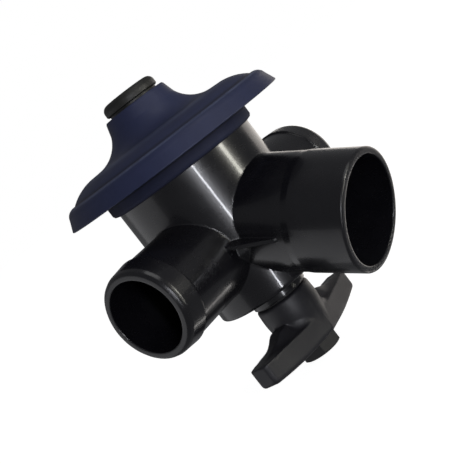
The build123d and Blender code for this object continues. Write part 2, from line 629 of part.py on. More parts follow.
def button_cap():
    """Rubber push button with a rounded edge and a pocket for its spring."""
    edge_z = BUTTON_TOP_Z - BUTTON_EDGE
    flat_r = BUTTON_R - BUTTON_EDGE
    bend = BUTTON_EDGE * math.sqrt(0.5)
    boss_r = STEM_R + 2.0
    boss_low = RECESS_Z + BUSH_FLANGE_THICK + BUTTON_TRAVEL + FREE
    return turned(
        *Polyline((STEM_R, STEM_TOP_Z), (0, STEM_TOP_Z), (0, BUTTON_TOP_Z),
                  (flat_r, BUTTON_TOP_Z)).edges(),
        arc((flat_r, BUTTON_TOP_Z), (flat_r + bend, edge_z + bend), (BUTTON_R, edge_z)),
        *Polyline((BUTTON_R, edge_z), (BUTTON_R, BUTTON_LIP_Z + 0.5), (BUTTON_R - 0.5, BUTTON_LIP_Z),
                  (BUTTON_SKIRT_R, BUTTON_LIP_Z), (BUTTON_SKIRT_R, BUTTON_UNDER_Z),
                  (POCKET_R, BUTTON_UNDER_Z), (POCKET_R, POCKET_Z), (boss_r, POCKET_Z),
                  (boss_r, boss_low), (STEM_R, boss_low), (STEM_R, STEM_TOP_Z)).edges(),
    )


def button_stem():
    groove_r = STEM_R - 0.6
    low = SEAL_Z - CLIP_THICK - 1.2
    return turned_points([
        (0, low), (STEM_R - 0.4, low), (STEM_R, low + 0.4), (STEM_R, SEAL_Z - CLIP_THICK),
        (groove_r, SEAL_Z - CLIP_THICK), (groove_r, SEAL_Z), (STEM_R, SEAL_Z),
        (STEM_R, STEM_TOP_Z), (0, STEM_TOP_Z),
    ])


def o_rings():
    centre_r = (SPINDLE_R + SEAL_BORE_R) / 2
    return Compound([Pos(0, 0, z) * Torus(centre_r, O_RING_R - TOUCH) for z in O_RING_CENTRES])


def anti_rotation_pin():
    return Pos(0, 0, PIN_Z) * Rot(0, 90, 0) * Cylinder(PIN_R, 2 * (NIPPLE_R - 0.2))


def stud_nut():
    top = STUD_NUT_Z + STUD_NUT_HEIGHT
    return hexagon(STUD_NUT_FLATS, STUD_NUT_Z, top) - tube(STUD_R + RUNNING, 0, STUD_NUT_Z, top)


parts = {
    "valve_body": valve_body(),
    "seat_ring": seat_ring(),
    "gland_o_rings": o_rings(),
    "gland_spacer": tube(SEAL_BORE_R - SEATED, SPINDLE_R + RUNNING,
                         O_RING_CENTRES[0] - O_RING_R - SPACER_THICK, O_RING_CENTRES[0] - O_RING_R),
    "gland_nut": gland_nut(),
    "handle_thrust_washer": tube(HUB_TOP_R - THRUST_WASHER_INSET, NIPPLE_R + RUNNING,
                                 NECK_Z - THRUST_WASHER_THICK, NECK_Z),
    "handle_retaining_clip": handle_clip(),
    "t_handle": t_handle(),
    "handle_thread_insert": thread_insert(),
    "handle_cap_nut": cap_nut(),
    "lift_spindle": lift_spindle(),
    "anti_rotation_pin": anti_rotation_pin(),
    "seat_washer_retainer": tube(SEAT_BORE_R - RETAINER_GAP, STUD_R + RUNNING,
                                 SEAT_Z - RETAINER_THICK, SEAT_Z),
    "seat_washer": tube(WASHER_R, STUD_R + RUNNING, SEAT_Z, WASHER_TOP_Z),
    "diaphragm_lower_plate": tube(PLATE_R, STUD_R + RUNNING, WASHER_TOP_Z, SHEET_Z),
    "diaphragm": diaphragm(),
    "diaphragm_upper_plate": upper_plate(),
    "diaphragm_lock_washer": tube(LOCK_WASHER_R, STUD_R + RUNNING, UPPER_PLATE_TOP_Z, STUD_NUT_Z),
    "diaphragm_nut": stud_nut(),
    "closing_spring": coil(SPRING_R, SPRING_WIRE_R, UPPER_PLATE_TOP_Z, SPRING_TOP_Z, SPRING_TURNS),
    "spring_seat": tube(SPRING_R + SPRING_SEAT_HALF, SPRING_R - SPRING_SEAT_HALF, SPRING_TOP_Z, DECK_Z),
    "slip_ring": tube(BODY_R - RIM_GAP, CHAMBER_R + FREE, BEAD_TOP_Z, SHOULDER_Z),
    "bonnet_cover": bonnet_cover(),
    "button_bush": button_bush(),
    "button_cap": button_cap(),
    "button_stem": button_stem(),
    "vent_seal": tube(BUSH_R + SEAL_LAP, STEM_R, SEAL_Z, BUSH_LOW_Z),
    "button_clip": clip_ring(STEM_R + 2.0, STEM_R - 0.6, SEAL_Z - CLIP_THICK, 80),
    "button_spring": coil(BUTTON_SPRING_R, BUTTON_SPRING_WIRE_R, RECESS_Z, POCKET_Z,
                          BUTTON_SPRING_TURNS),
}

for name, shape in parts.items():
    export_step(shape, f"parts/{name}.step")
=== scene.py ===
"""Visual model of a three-port diaphragm valve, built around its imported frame.

Each sub-assembly is a class that builds its meshes and dresses them; each finish is a frozen
dataclass that makes one procedural material. Sizes of the sub-assemblies and of the finishes' marks
are in millimetres; the studio's are in metres unless a name says mm.
"""

from __future__ import annotations

import json
import logging
import math
from dataclasses import dataclass
from enum import Enum
from typing import Iterable, Sequence

import bmesh
import bpy
from mathutils import Matrix, Vector

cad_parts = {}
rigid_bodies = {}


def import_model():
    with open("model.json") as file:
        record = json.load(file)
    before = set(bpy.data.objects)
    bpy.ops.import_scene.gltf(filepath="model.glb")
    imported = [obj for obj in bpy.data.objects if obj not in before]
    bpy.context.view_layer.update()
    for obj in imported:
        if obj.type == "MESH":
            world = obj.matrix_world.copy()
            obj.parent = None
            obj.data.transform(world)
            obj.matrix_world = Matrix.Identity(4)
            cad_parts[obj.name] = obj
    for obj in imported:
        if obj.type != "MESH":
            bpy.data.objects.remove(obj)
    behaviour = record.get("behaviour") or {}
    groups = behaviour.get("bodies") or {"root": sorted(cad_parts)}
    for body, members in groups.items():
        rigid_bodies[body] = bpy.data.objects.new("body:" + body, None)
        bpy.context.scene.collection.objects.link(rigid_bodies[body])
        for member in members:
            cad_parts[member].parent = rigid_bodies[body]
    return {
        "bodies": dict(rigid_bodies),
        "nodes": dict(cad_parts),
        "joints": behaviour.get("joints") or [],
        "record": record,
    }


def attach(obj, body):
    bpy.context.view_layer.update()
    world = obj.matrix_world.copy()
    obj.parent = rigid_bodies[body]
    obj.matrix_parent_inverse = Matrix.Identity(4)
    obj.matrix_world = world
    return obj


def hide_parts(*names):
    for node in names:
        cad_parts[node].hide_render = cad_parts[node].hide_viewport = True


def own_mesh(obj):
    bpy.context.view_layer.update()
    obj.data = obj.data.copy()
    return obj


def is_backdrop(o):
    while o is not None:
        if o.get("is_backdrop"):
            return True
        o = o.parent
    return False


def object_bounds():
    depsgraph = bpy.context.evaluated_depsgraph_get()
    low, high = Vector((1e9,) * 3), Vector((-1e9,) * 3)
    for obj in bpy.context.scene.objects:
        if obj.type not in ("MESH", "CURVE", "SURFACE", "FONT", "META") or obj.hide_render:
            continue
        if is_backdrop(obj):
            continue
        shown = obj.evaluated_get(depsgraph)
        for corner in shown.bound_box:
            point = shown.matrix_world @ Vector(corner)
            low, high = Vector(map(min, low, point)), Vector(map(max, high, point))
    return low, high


LOG = logging.getLogger("diaphragm_valve")
MM = 0.001
EDGE_SAMPLES = 8
WHITE = (1.0, 1.0, 1.0, 1.0)
Point = tuple[float, float]


# ---------------------------------------------------------------------------------------------
# Shader expressions
# ---------------------------------------------------------------------------------------------


class Value:
    """A number socket that can be used in Python arithmetic.

    Args:
        graph: The node tree that owns the socket.
        socket: The output socket that carries the number.
    """

    def __init__(self, graph: Nodes, socket: bpy.types.NodeSocket) -> None:
        """Keeps the tree and the socket."""
        self.graph = graph
        self.socket = socket

    def _math(self, operation: str, *terms: object) -> Value:
        """Adds one Math node over the terms."""
        return self.graph.add("ShaderNodeMath", {"operation": operation}, dict(enumerate(terms)))

    def __add__(self, other: object) -> Value:
        """self + other."""
        return self._math("ADD", self, other)

    def __radd__(self, other: object) -> Value:
        """other + self."""
        return self._math("ADD", other, self)

    def __sub__(self, other: object) -> Value:
        """self - other."""
        return self._math("SUBTRACT", self, other)

    def __rsub__(self, other: object) -> Value:
        """other - self."""
        return self._math("SUBTRACT", other, self)

    def __mul__(self, other: object) -> Value:
        """self * other."""
        return self._math("MULTIPLY", self, other)

    def __rmul__(self, other: object) -> Value:
        """other * self."""
        return self._math("MULTIPLY", other, self)

    def power(self, exponent: float) -> Value:
        """self raised to an exponent."""
        return self._math("POWER", self, exponent)

    def wave(self) -> Value:
        """The sine of self, in radians."""
        return self._math("SINE", self)

    def band(self, low: float, high: float) -> Value:
        """A smooth 0 to 1 step as self goes from low to high.

        Args:
            low: Where the step starts.
            high: Where the step is complete.

        Returns:
            The stepped value.
        """
        settings = {"interpolation_type": "SMOOTHSTEP"}
        return self.graph.add("ShaderNodeMapRange", settings, {"Value": self, 1: low, 2: high})


class Nodes:
    """One node tree, with the method that adds its nodes."""

    def __init__(self, tree: bpy.types.NodeTree) -> None:
        """Keeps the tree and empties it."""
        self.tree = tree
        self.tree.nodes.clear()

    def feed(self, socket: bpy.types.NodeSocket, value: object) -> None:
        """Links a Value or a socket into a socket, or sets its default.

        Args:
            socket: The input to feed.
            value: A Value, an output socket, a number or a tuple.
        """
        if isinstance(value, Value):
            value = value.socket
        if isinstance(value, bpy.types.NodeSocket):
            self.tree.links.new(value, socket)
        else:
            socket.default_value = value

    def node(self, kind: str, settings: dict[str, object], inputs: dict[object, object]
             ) -> bpy.types.Node:
        """Adds any node.

        Args:
            kind: The node's type name.
            settings: Attributes that are set first.
            inputs: Values or links of its sockets, by name or index.

        Returns:
            The node.
        """
        node = self.tree.nodes.new(kind)
        for key, value in settings.items():
            setattr(node, key, value)
        for key, value in inputs.items():
            self.feed(node.inputs[key], value)
        return node

    def add(self, kind: str, settings: dict[str, object], inputs: dict[object, object],
            output: int | str = 0) -> Value:
        """Adds any node and wraps one of its outputs.

        Args:
            kind: The node's type name.
            settings: Attributes that are set first.
            inputs: Values or links of its sockets, by name or index.
            output: The output to wrap.

        Returns:
            The chosen output as a Value.
        """
        return Value(self, self.node(kind, settings, inputs).outputs[output])


class Graph(Nodes):
    """The node tree of one material, with short calls for what the finishes need."""

    def __init__(self, name: str) -> None:
        """Makes an empty material with a Principled shader on its output.

        Args:
            name: The material's name.
        """
        self.material = bpy.data.materials.new(name)
        self.material.use_nodes = True
        super().__init__(self.material.node_tree)
        self.shader = self.node("ShaderNodeBsdfPrincipled", {}, {})
        self.node("ShaderNodeOutputMaterial", {}, {"Surface": self.shader.outputs["BSDF"]})

    def place_mm(self) -> Value:
        """The surface point in the valve's frame, in millimetres."""
        point = self.add("ShaderNodeTexCoord", {}, {}, "Object")
        return self.add("ShaderNodeVectorMath", {"operation": "SCALE"}, {0: point, "Scale": 1.0 / MM})

    def stretched(self, factors: tuple[float, float, float]) -> Value:
        """The point in millimetres with each axis scaled by its own factor."""
        return self.add("ShaderNodeVectorMath", {"operation": "MULTIPLY"},
                        {0: self.place_mm(), 1: factors})

    def axes(self) -> tuple[Value, Value, Value]:
        """Splits the surface point.

        Returns:
            X, Y and Z in millimetres.
        """
        split = self.add("ShaderNodeSeparateXYZ", {}, {0: self.place_mm()})
        outputs = split.socket.node.outputs
        return tuple(Value(self, outputs[name]) for name in "XYZ")

    def radius(self) -> Value:
        """Distance from the valve axis, in millimetres."""
        x, y, _ = self.axes()
        return (x * x + y * y).power(0.5)

    def noise(self, scale: float, detail: float = 3.0, roughness: float = 0.55,
              at: Value | None = None) -> Value:
        """Fractal noise from 0 to 1.

        Args:
            scale: Features per millimetre.
            detail: Octaves.
            roughness: Strength of the finer octaves.
            at: Where it is read, or the point in millimetres.

        Returns:
            The noise value.
        """
        return self.add("ShaderNodeTexNoise", {}, {
            "Vector": at or self.place_mm(), "Scale": scale, "Detail": detail,
            "Roughness": roughness})

    def cells(self, scale: float, at: Value | None = None) -> Value:
        """Distance to the nearest cell centre, for pits and specks."""
        return self.add("ShaderNodeTexVoronoi", {}, {"Vector": at or self.place_mm(), "Scale": scale})

    def tint(self, factor: Value, low: Sequence[float], high: Sequence[float]) -> Value:
        """A colour between two colours.

        Args:
            factor: 0 gives low and 1 gives high.
            low: Linear colour at 0.
            high: Linear colour at 1.

        Returns:
            The mixed colour.
        """
        return self.add("ShaderNodeMix", {"data_type": "RGBA"},
                        {0: factor, 6: (*low, 1.0), 7: (*high, 1.0)}, 2)

    def over(self, factor: Value, under: Value, colour: Sequence[float]) -> Value:
        """One colour laid over another where the factor is high."""
        return self.add("ShaderNodeMix", {"data_type": "RGBA"},
                        {0: factor, 6: under, 7: (*colour, 1.0)}, 2)

    def bump(self, height: Value, strength: float, depth_mm: float, edge_mm: float = 0.0) -> None:
        """Feeds a bump from a height of 0 to 1 into the shader's Normal.

        Args:
            height: The relief.
            strength: Share of the relief that shows.
            depth_mm: Its depth in millimetres.
            edge_mm: Radius by which the shading rounds the edges.
        """
        inputs = {"Height": height, "Strength": strength, "Distance": depth_mm * MM}
        if edge_mm:
            inputs["Normal"] = self.add("ShaderNodeBevel", {"samples": EDGE_SAMPLES},
                                        {"Radius": edge_mm * MM})
        self.feed(self.shader.inputs["Normal"], self.add("ShaderNodeBump", {}, inputs))

    def surface(self, **sockets: object) -> bpy.types.Material:
        """Feeds the Principled shader's sockets and returns the material.

        Args:
            **sockets: Socket names with underscores for spaces, and their values.

        Returns:
            The finished material.
        """
        for name, value in sockets.items():
            self.feed(self.shader.inputs[name.replace("_", " ")], value)
        return self.material


# ---------------------------------------------------------------------------------------------
# Finishes
# ---------------------------------------------------------------------------------------------


class Grain(Enum):
    """How a moulded skin's fine texture runs."""

    POLISHED = "polished"
    SATIN = "satin"
    SPARK = "spark"


@dataclass(frozen=True)
class MouldedPlastic:
    """Injection-moulded plastic: pigment drift, flow marks, handling dust and a fine skin."""

    name: str
    base: tuple[float, float, float]
    light: tuple[float, float, float]
    roughness: float
    spread: float
    grain: Grain
    coat: float = 0.0
    edge_mm: float = 0.7
    dust: tuple[float, float, float] = (0.16, 0.15, 0.14)
    dust_share: float = 0.10
    coat_roughness: float = 0.07
    ior: float = 1.5
    relief: float = 0.6
    drift_scale: float = 0.045
    flow_scale: float = 0.22
    speck_scale: float = 0.9
    scuff_scale: float = 0.5
    smear_scale: float = 0.07

    def material(self) -> bpy.types.Material:
        """Builds the node material.

        Returns:
            The material.
        """
        g = Graph(self.name)
        drift = g.noise(self.drift_scale, 4.0)
        flow = g.noise(self.flow_scale, 3.0, at=g.stretched((1.0, 1.0, 0.25)))
        colour = g.tint((drift * 0.6 + flow * 0.4).band(0.3, 0.7), self.base, self.light)
        specks = (1.0 - g.cells(self.speck_scale)).band(0.80, 0.97)
        specks = specks * g.noise(0.12, 2.0).band(0.45, 0.7)
        colour = g.over(specks * self.dust_share, colour, self.dust)
        scuff = g.noise(self.scuff_scale, 6.0, 0.7, at=g.stretched((0.35, 1.0, 3.0))).band(0.55, 0.75)
        smear = g.noise(self.smear_scale, 3.0).band(0.35, 0.7)
        rough = self.roughness + self.spread * (smear * 0.6 + scuff * 0.5 + specks * 0.8)
        # Paints light and shade onto set places, where a finish has any.
        colour, rough = self.painted_light_and_shade(g, colour, rough)
        fine, depth = self.texture(g)
        g.bump(fine, self.relief, depth, self.edge_mm)
        return g.surface(Base_Color=colour, Roughness=rough, IOR=self.ior, Coat_Weight=self.coat,
                         Coat_Roughness=self.coat_roughness)

    def texture(self, g: Graph) -> tuple[Value, float]:
        """The moulded skin's fine relief.

        Args:
            g: The material's graph.

        Returns:
            The relief and its depth in millimetres.
        """
        if self.grain is Grain.POLISHED:
            return g.noise(0.35, 2.0) * 0.7 + g.noise(5.0, 2.0) * 0.05, 0.025
        if self.grain is Grain.SATIN:
            return g.noise(3.2, 3.0) * 0.5 + g.noise(0.4, 2.0) * 0.5, 0.05
        return g.noise(4.5, 4.0, 0.7) * 0.8 + (1.0 - g.cells(3.0)) * 0.3, 0.07

    def painted_light_and_shade(self, g: Graph, colour: Value, rough: Value) -> tuple[Value, Value]:
        """Light and shade painted onto set places of the piece; there is none on plain mouldings."""
        return colour, rough


@dataclass(frozen=True)
class CoverPlastic(MouldedPlastic):
    """The cover's plastic, with painted highlights on its raised edge and crest and painted shade in
    its fold, on its skirt and along a shadow line under the brim.
    """

    # Colour of the painted highlights on the raised edge and the crest.
    highlight_colour: tuple[float, float, float] = (0.060, 0.074, 0.140)
    # Colour of the painted shade in the fold, on the skirt and along the line under the brim.
    shade_colour: tuple[float, float, float] = (0.004, 0.005, 0.014)
    # Where the painted highlights and shade lie, in millimetres, how strong they are, and the skirt's
    # extra roughness.
    top_from: float = 43.0
    edge_r: float = 49.3
    edge_width: float = 1.0
    crest_r: float = 36.0
    crest_width: float = 4.5
    fold_r: float = 46.6
    fold_width: float = 1.6
    skirt_top: float = 40.5
    line_below: float = 0.5
    line_width: float = 0.9
    crest_share: float = 0.6
    fold_share: float = 0.6
    skirt_share: float = 0.45
    line_share: float = 0.5
    skirt_matt: float = 0.3

    @staticmethod
    def ring(r: Value, centre: float, width: float) -> Value:
        """1 on a circle about the axis, falling to 0 over the width."""
        return (1.0 - (r - centre) * (r - centre) * (1.0 / width ** 2)).band(0.0, 1.0)

    def painted_light_and_shade(self, g: Graph, colour: Value, rough: Value) -> tuple[Value, Value]:
        """Paints the highlights on the raised edge and crest and the shade in the fold, on the skirt
        and along the line under the brim.

        Args:
            g: The material's graph.
            colour: The plain plastic's colour.
            rough: Its roughness.

        Returns:
            The new colour and roughness.
        """
        r = g.radius()
        _, _, z = g.axes()
        patchy = 0.6 + 0.4 * g.noise(0.10, 3.0).band(0.35, 0.65)
        on_top = z.band(self.top_from, self.top_from + 1.0)
        edge = self.ring(r, self.edge_r, self.edge_width)
        crest = self.ring(r, self.crest_r, self.crest_width)
        # Painted highlight: paler colour on the raised edge and the crest, where light catches them.
        pale = (edge + crest * self.crest_share) * on_top
        colour = g.over(pale * patchy, colour, self.highlight_colour)
        # Painted shade in the fold between the crest and the raised edge.
        fold = self.ring(r, self.fold_r, self.fold_width) * on_top * self.fold_share
        # Painted shade on the skirt under the brim, and a painted shadow line just below the brim.
        skirt = 1.0 - z.band(self.skirt_top - 0.6, self.skirt_top)
        line = self.ring(z, self.skirt_top - self.line_below, self.line_width)
        painted_shade = fold + skirt * self.skirt_share + line * self.line_share
        return g.over(painted_shade, colour, self.shade_colour), rough + skirt * self.skirt_matt


@dataclass(frozen=True)
class Rubber:
    """Vulcanised rubber: matt bloom, fine powder and a leathery skin, with a weave where it has one."""

    name: str
    base: tuple[float, float, float]
    bloom: tuple[float, float, float]
    roughness: float
    weave: float = 0.0
    relief: float = 0.7
    relief_mm: float = 0.10
    ior: float = 1.52

    def material(self) -> bpy.types.Material:
        """Builds the node material.

        Returns:
            The material.
        """
        g = Graph(self.name)
        patches = g.noise(0.16, 5.0, 0.65).band(0.42, 0.72)
        powder = g.noise(2.6, 3.0).band(0.5, 0.85)
        colour = g.tint(patches * 0.55 + powder * 0.3, self.base, self.bloom)
        rough = self.roughness + 0.18 * (patches - 0.5)
        skin = g.noise(1.9, 4.0, 0.6) * 0.6 + g.cells(2.4) * 0.25
        if self.weave:
            x, y, _ = g.axes()
            threads = (x * self.weave).wave() * (y * self.weave).wave()
            skin = skin + threads * 0.35
        g.bump(skin, self.relief, self.relief_mm)
        return g.surface(Base_Color=colour, Roughness=rough, IOR=self.ior)


class Working(Enum):
    """How a metal piece was made, which sets its marks."""

    TURNED = "turned"
    PRESSED = "pressed"
    DRAWN = "drawn"


@dataclass(frozen=True)
class Metal:
    """Turned, pressed or drawn metal with the marks of its making and patches of tarnish."""

    name: str
    base: tuple[float, float, float]
    tarnish: tuple[float, float, float]
    roughness: float
    working: Working = Working.TURNED
    height_waves: float = 34.0
    radius_waves: float = 30.0
    relief: float = 0.45
    relief_mm: float = 0.04

    def marks(self, g: Graph) -> Value:
        """The relief that the piece's making left.

        Args:
            g: The material's graph.

        Returns:
            The relief.
        """
        if self.working is Working.PRESSED:
            return g.noise(2.2, 5.0, 0.7)
        if self.working is Working.DRAWN:
            return g.noise(6.0, 3.0, 0.6, at=g.stretched((1.0, 1.0, 0.3)))
        _, _, z = g.axes()
        rings = (z * self.height_waves).wave() * 0.5 + (g.radius() * self.radius_waves).wave() * 0.5
        return rings * 0.5 + g.noise(0.8, 2.0)

    def material(self) -> bpy.types.Material:
        """Builds the node material.

        Returns:
            The material.
        """
        g = Graph(self.name)
        stain = g.noise(0.2, 5.0, 0.6).band(0.45, 0.8)
        marks = self.marks(g)
        colour = g.tint(stain * 0.8, self.base, self.tarnish)
        rough = self.roughness + 0.16 * stain + 0.06 * marks
        g.bump(marks, self.relief, self.relief_mm)
        return g.surface(Base_Color=colour, Roughness=rough, Metallic=1.0 - 0.08 * stain)


FINISHES: dict[str, MouldedPlastic | Rubber | Metal] = {
    "body_black": MouldedPlastic("body_black_gloss", (0.0042, 0.0042, 0.0058), (0.0064, 0.0062, 0.0082),
                                 0.24, 0.12, Grain.POLISHED, coat=0.22, edge_mm=1.1),
    # The cover's finish paints highlights on its raised edge and crest and shade in its fold and under
    # its brim.
    "cover_blue": CoverPlastic("cover_navy_satin", (0.0120, 0.0170, 0.0560), (0.0165, 0.0225, 0.0680),
                               0.50, 0.10, Grain.SATIN),
    "handle_charcoal": MouldedPlastic("handle_charcoal_satin", (0.0130, 0.0128, 0.0165),
                                      (0.0190, 0.0185, 0.0215), 0.44, 0.12, Grain.SPARK),
    "cap_nut_black": MouldedPlastic("cap_nut_black", (0.0100, 0.0100, 0.0105),
                                    (0.0150, 0.0145, 0.0145), 0.5, 0.1, Grain.SPARK),
    "guide_plastic": MouldedPlastic("natural_acetal", (0.62, 0.61, 0.56), (0.72, 0.71, 0.67),
                                    0.4, 0.1, Grain.SATIN),
    "button_rubber": Rubber("button_rubber", (0.0085, 0.0085, 0.0070), (0.0180, 0.0180, 0.0150), 0.56),
    "seal_rubber": Rubber("seal_rubber", (0.010, 0.010, 0.010), (0.022, 0.022, 0.022), 0.5),
    "diaphragm_rubber": Rubber("diaphragm_rubber", (0.012, 0.012, 0.013), (0.026, 0.026, 0.027),
                               0.55, weave=7.0),
    "gland_brass": Metal("turned_brass", (0.72, 0.50, 0.22), (0.42, 0.27, 0.11), 0.24),
    "clip_steel": Metal("clip_steel", (0.40, 0.40, 0.42), (0.26, 0.25, 0.25), 0.35, Working.PRESSED),
    "spindle_steel": Metal("spindle_steel", (0.60, 0.60, 0.61), (0.46, 0.45, 0.43), 0.2),
    "seat_steel": Metal("seat_steel", (0.62, 0.62, 0.63), (0.48, 0.47, 0.45), 0.18),
    "plate_steel": Metal("plate_steel", (0.58, 0.58, 0.59), (0.44, 0.43, 0.41), 0.3, Working.PRESSED),
    "spring_steel": Metal("spring_steel", (0.50, 0.50, 0.52), (0.36, 0.35, 0.34), 0.28, Working.DRAWN),
}


class Wardrobe:
    """Makes each finish once and dresses CAD nodes and pieces in it."""

    def __init__(self, frame: dict) -> None:
        """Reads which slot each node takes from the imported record.

        Args:
            frame: The loaded frame.
        """
        self.frame = frame
        self.slots = {row["node"]: row["material_slot"] for row in frame["record"]["subparts"]}
        self.made: dict[str, bpy.types.Material] = {}

    def material(self, slot: str) -> bpy.types.Material:
        """The material of a slot, made at its first use.

        Args:
            slot: The slot's name.

        Returns:
            Its material.
        """
        if slot not in self.made:
            self.made[slot] = FINISHES[slot].material()
        return self.made[slot]

    def dress(self, thing: bpy.types.Object, slot: str) -> None:
        """Gives an object the material of one slot."""
        thing.data.materials.clear()
        thing.data.materials.append(self.material(slot))

    def dress_nodes(self) -> None:
        """Dresses every CAD node that is still shown."""
        for name, node in self.frame["nodes"].items():
            if not node.hide_render:
                self.dress(node, self.slots[name])
                LOG.info("node %s wears %s", name, self.slots[name])


# ---------------------------------------------------------------------------------------------
# Mesh building
# ---------------------------------------------------------------------------------------------


def rounded(corners: Sequence[tuple[float, float, float]], steps: int = 6) -> list[Point]:
    """Rounds the corners of a closed outline.

    Args:
        corners: (r, z, radius) of each corner in millimetres; radius 0 keeps it sharp.
        steps: Points along each rounded corner.

    Returns:
        The outline as (r, z) points.
    """
    points: list[Point] = []
    count = len(corners)
    for index, (r, z, radius) in enumerate(corners):
        here = Vector((r, z))
        before = Vector(corners[index - 1][:2]) - here
        after = Vector(corners[(index + 1) % count][:2]) - here
        if radius <= 0.0 or before.length == 0.0 or after.length == 0.0:
            points.append((r, z))
            continue
        reach = min(radius, 0.45 * before.length, 0.45 * after.length)
        start = here + before.normalized() * reach
        end = here + after.normalized() * reach
        for step in range(steps + 1):
            t = step / steps
            point = start * (1 - t) ** 2 + here * (2 * t * (1 - t)) + end * t ** 2
            points.append((point.x, point.y))
    return points


class Maker:
    """Builds the meshes of own pieces, links them and ties them to the frame."""

    steps_per_turn = 48
    wire_sides = 14
    end_tightening = 0.06
    bore_segments = 96

    def __init__(self, wardrobe: Wardrobe) -> None:
        """Keeps the wardrobe that dresses the pieces."""
        self.wardrobe = wardrobe

    @staticmethod
    def object(name: str, vertices: Iterable[Sequence[float]], faces: Iterable[Sequence[int]]
               ) -> bpy.types.Object:
        """Makes a smooth-shaded mesh object from millimetre points.

        Args:
            name: The object's name.
            vertices: Points in millimetres.
            faces: Vertex numbers of each face.

        Returns:
            The linked object.
        """
        mesh = bpy.data.meshes.new(name)
        mesh.from_pydata([tuple(c * MM for c in v) for v in vertices], [], [tuple(f) for f in faces])
        mesh.validate()
        work = bmesh.new()
        work.from_mesh(mesh)
        bmesh.ops.recalc_face_normals(work, faces=work.faces)
        work.to_mesh(mesh)
        work.free()
        mesh.shade_smooth()
        made = bpy.data.objects.new(name, mesh)
        bpy.context.scene.collection.objects.link(made)
        return made

    def lathe(self, name: str, outline: Sequence[Point], segments: int = 192) -> bpy.types.Object:
        """Turns a closed outline about the valve axis.

        Args:
            name: The object's name.
            outline: (r, z) points in millimetres, none of them on the axis.
            segments: Steps round the axis.

        Returns:
            The turned object.
        """
        count = len(outline)
        angles = [2 * math.pi * k / segments for k in range(segments)]
        vertices = [(r * math.cos(a), r * math.sin(a), z) for a in angles for r, z in outline]
        faces = [
            (k * count + i, ((k + 1) % segments) * count + i,
             ((k + 1) % segments) * count + (i + 1) % count, k * count + (i + 1) % count)
            for k in range(segments) for i in range(count)
        ]
        return self.object(name, vertices, faces)

    def skin(self, name: str, rings: Sequence[Sequence[Sequence[float]]]) -> bpy.types.Object:
        """Joins equal closed rings of points into one skin with flat ends.

        Args:
            name: The object's name.
            rings: Rings of points in millimetres.

        Returns:
            The skinned object.
        """
        count = len(rings[0])
        vertices = [point for ring in rings for point in ring]
        faces = [
            (j * count + i, j * count + (i + 1) % count, (j + 1) * count + (i + 1) % count,
             (j + 1) * count + i)
            for j in range(len(rings) - 1) for i in range(count)
        ]
        faces.append(tuple(range(count)))
        faces.append(tuple(range((len(rings) - 1) * count, len(rings) * count)))
        return self.object(name, vertices, faces)

    def coil(self, name: str, mean_r: float, wire_r: float, low: float, high: float, turns: float
             ) -> bpy.types.Object:
        """A compression spring whose pitch tightens towards its ends.

        Args:
            name: The object's name.
            mean_r: Mean radius of the coil in millimetres.
            wire_r: Radius of the wire.
            low: Height of the lower end.
            high: Height of the upper end.
            turns: Turns between the ends.

        Returns:
            The coil.
        """
        steps = int(self.steps_per_turn * turns)
        sides = [2 * math.pi * k / self.wire_sides for k in range(self.wire_sides)]
        rings = []
        for j in range(steps + 1):
            share = j / steps
            angle = 2 * math.pi * turns * share
            eased = share - math.sin(2 * math.pi * share) * self.end_tightening
            z = low + wire_r + (high - low - 2 * wire_r) * eased
            out = Vector((math.cos(angle), math.sin(angle), 0.0))
            rings.append([tuple(out * (mean_r + wire_r * math.cos(b))
                                + Vector((0, 0, z + wire_r * math.sin(b))))
                          for b in sides])
        return self.skin(name, rings)

    @staticmethod
    def settle(made: bpy.types.Object) -> bpy.types.Object:
        """Applies an object's modifiers to its mesh.

        Args:
            made: The object with modifiers.

        Returns:
            The same object with a plain mesh.
        """
        graph = bpy.context.evaluated_depsgraph_get()
        mesh = bpy.data.meshes.new_from_object(made.evaluated_get(graph))
        made.modifiers.clear()
        made.data = mesh
        return made

    def fused(self, name: str, solids: Sequence[bpy.types.Object], voxel_mm: float, smooth: int
              ) -> bpy.types.Object:
        """Fuses overlapping solids into one skin with softened edges.

        Args:
            name: The fused object's name.
            solids: The solids, which are used up.
            voxel_mm: Size of the grid.
            smooth: Passes of smoothing.

        Returns:
            The fused object.
        """
        work = bmesh.new()
        for solid in solids:
            work.from_mesh(solid.data)
            bpy.data.objects.remove(solid)
        mesh = bpy.data.meshes.new(name)
        work.to_mesh(mesh)
        work.free()
        made = bpy.data.objects.new(name, mesh)
        bpy.context.scene.collection.objects.link(made)
        remesh = made.modifiers.new("fuse", "REMESH")
        remesh.mode = "VOXEL"
        remesh.voxel_size = voxel_mm * MM
        soften = made.modifiers.new("soften", "SMOOTH")
        soften.factor = 0.5
        soften.iterations = smooth
        self.settle(made)
        made.data.shade_smooth()
        return made

    def bored(self, made: bpy.types.Object, cutter: bpy.types.Object) -> bpy.types.Object:
        """Cuts one solid out of another and removes the cutter.

        Args:
            made: The solid that stays.
            cutter: The solid that is taken away.

        Returns:
            The cut object.
        """
        cut = made.modifiers.new("bore", "BOOLEAN")
        cut.operation = "DIFFERENCE"
        cut.object = cutter
        cut.solver = "EXACT"
        self.settle(made)
        bpy.data.objects.remove(cutter)
        made.data.shade_smooth()
        return made

    def fit(self, made: bpy.types.Object, node: str, slot: str, body: str) -> bpy.types.Object:
        """Dresses a piece, lets it stand for its CAD node and ties it to a body.

        Args:
            made: The piece.
            node: The CAD node that it replaces.
            slot: Its material slot.
            body: The body that carries it.

        Returns:
            The piece.
        """
        self.wardrobe.dress(made, slot)
        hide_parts(node)
        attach(made, body)
        LOG.info("piece %s stands for %s: %d faces", made.name, node, len(made.data.polygons))
        return made


# ---------------------------------------------------------------------------------------------
# Sub-assemblies, in millimetres
# ---------------------------------------------------------------------------------------------


